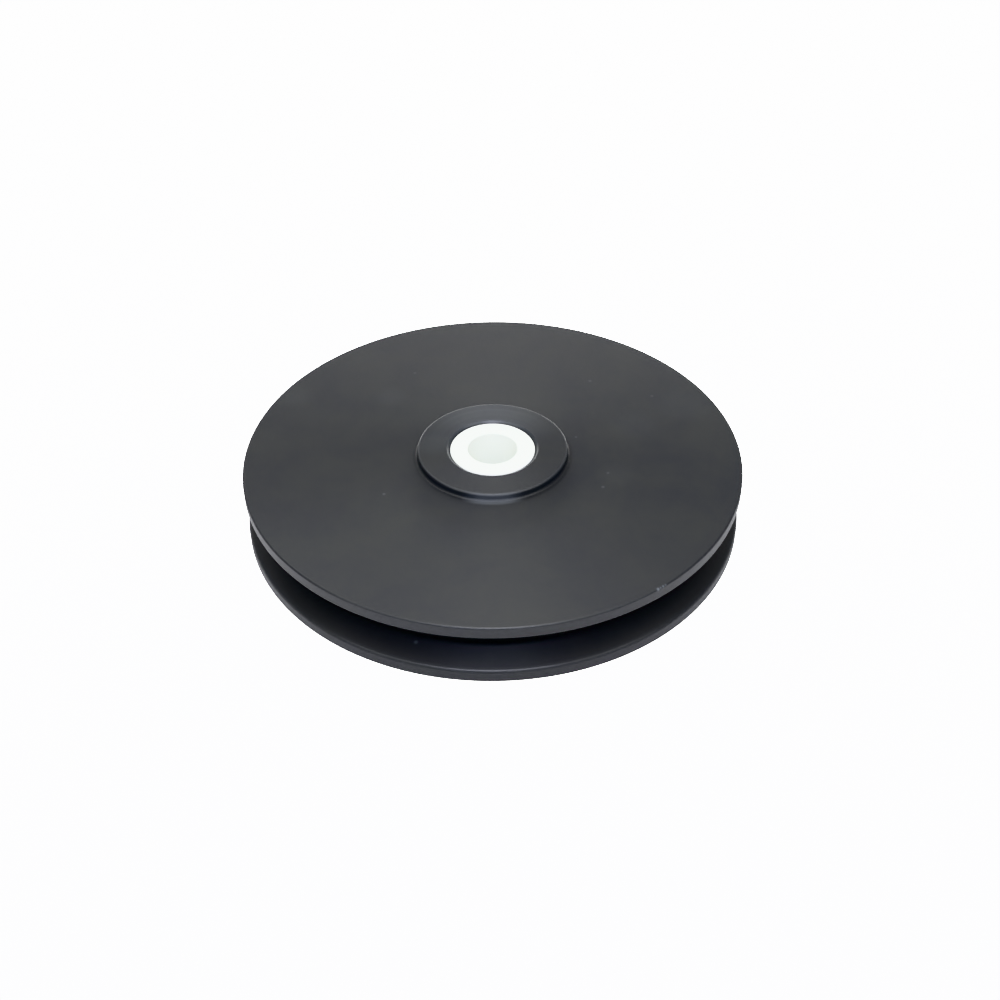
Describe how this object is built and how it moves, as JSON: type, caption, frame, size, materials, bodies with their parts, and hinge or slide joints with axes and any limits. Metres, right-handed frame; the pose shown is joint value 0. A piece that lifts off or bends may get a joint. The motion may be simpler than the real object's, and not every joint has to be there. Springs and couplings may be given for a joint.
{
  "type": "wire rope sheave",
  "caption": "Flat-sided turned sheave with a round-rooted V groove for wire rope, a raised hub and a pressed-in plain bush with a running bore.",
  "frame": {"origin": "on the axle bore's axis, in the plane of the lower hub face, on which the sheave lies", "axes": "+Z along the bore, from the lower hub face to the upper one; X and Y are any two directions across it"},
  "size_m": [0.2, 0.2, 0.033],
  "materials": {
    "black_nylon": "turned cast nylon, satin, with fine tool marks round the axis",
    "white_bush": "turned white plastic, smooth and slightly waxy"
  },
  "bodies": {
    "root": {"sheave_wheel": "black_nylon", "bore_bush": "white_bush"}
  },
  "joints": []
}
